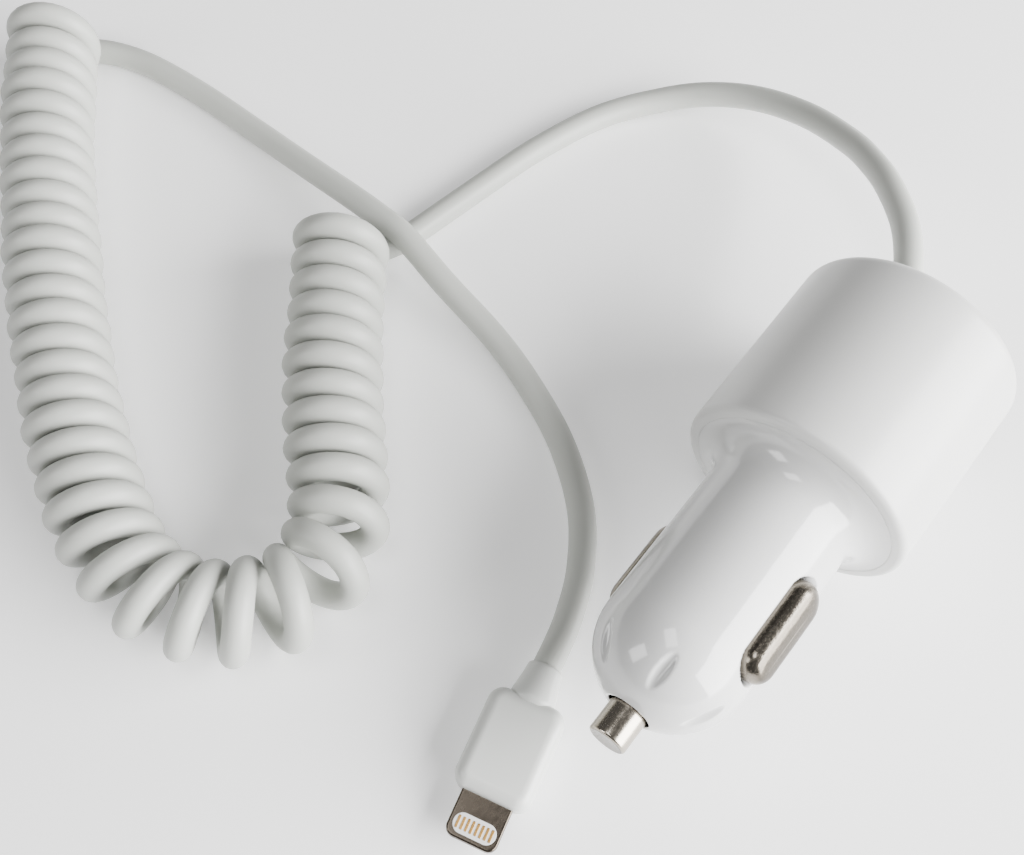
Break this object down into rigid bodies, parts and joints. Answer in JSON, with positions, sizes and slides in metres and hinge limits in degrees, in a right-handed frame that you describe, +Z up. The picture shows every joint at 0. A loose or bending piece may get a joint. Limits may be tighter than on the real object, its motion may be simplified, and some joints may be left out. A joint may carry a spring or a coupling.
{
  "type": "car power plug with curly phone lead",
  "caption": "White car power plug with a USB port in its head and a fixed curly lead ending in a flat phone plug.",
  "frame": {"origin": "on the floor, under the middle of the plug's box without its lead", "axes": "the nose points to -Y and the back of the head to +Y, +Z up, and the head lies on the floor"},
  "size_m": [0.1647, 0.13, 0.0324],
  "materials": {
    "white_shell": "glossy moulded white plastic",
    "nickel": "nickel plated, lightly grained",
    "spring_steel": "bright spring steel",
    "contact_brass": "brass",
    "dark_plastic": "black moulded plastic",
    "board_green": "green lacquered board",
    "port_steel": "plated folded sheet",
    "white_insulator": "white moulded plastic",
    "ferrite": "dark ferrite",
    "copper_wire": "lacquered copper wire",
    "capacitor_can": "can in a dark sleeve",
    "black_epoxy": "black moulding",
    "red_wire": "red insulated wire",
    "black_wire": "black insulated wire",
    "white_lead": "satin white soft jacket",
    "plug_white": "satin moulded white plastic",
    "dark_nickel": "dark plated metal",
    "contact_gold": "gold plated contacts"
  },
  "bodies": {
    "charger": {"plug_shell": "white_shell", "head_cap": "white_shell", "pin_spring": "spring_steel", "feed_rivet": "contact_brass", "contact_carrier": "dark_plastic", "contact_spring_right": "spring_steel", "contact_spring_left": "spring_steel", "circuit_board": "board_green", "port_shell": "port_steel", "port_insulator": "white_insulator", "port_contacts": "contact_brass", "inductor_core": "ferrite", "inductor_winding": "copper_wire", "input_capacitor": "capacitor_can", "output_capacitor": "capacitor_can", "control_chip": "black_epoxy", "chip_legs": "spring_steel", "flyback_diode": "black_epoxy", "chip_resistors": "black_epoxy", "feed_wire": "red_wire", "earth_wire_right": "black_wire", "earth_wire_left": "black_wire", "lead_cores": "red_wire", "lead_grommet": "white_shell", "cord_head_end": "white_lead", "cord_curly": "white_lead", "cord_plug_end": "white_lead", "plug_collar": "plug_white", "plug_housing": "plug_white", "plug_board": "board_green", "plug_tab": "dark_nickel", "tab_insulator": "white_insulator", "tab_contacts": "contact_gold"},
    "pin": {"centre_pin": "nickel"},
    "contact_right": {"side_contact_right": "nickel"},
    "contact_left": {"side_contact_left": "nickel"}
  },
  "joints": [
    {"name": "pin_press", "type": "slide", "parent": "charger", "child": "pin", "axis": [0, 1, 0], "range_m": [0, 0.0025], "stiffness_N_per_m": 1200, "deforming": ["pin_spring"]},
    {"name": "contact_right_press", "type": "slide", "parent": "charger", "child": "contact_right", "axis": [-0.8746, 0, -0.4848], "range_m": [0, 0.0012], "stiffness_N_per_m": 900, "deforming": ["contact_spring_right"]},
    {"name": "contact_left_press", "type": "slide", "parent": "charger", "child": "contact_left", "axis": [0.8746, 0, 0.4848], "range_m": [0, 0.0012], "stiffness_N_per_m": 900, "deforming": ["contact_spring_left"]}
  ]
}
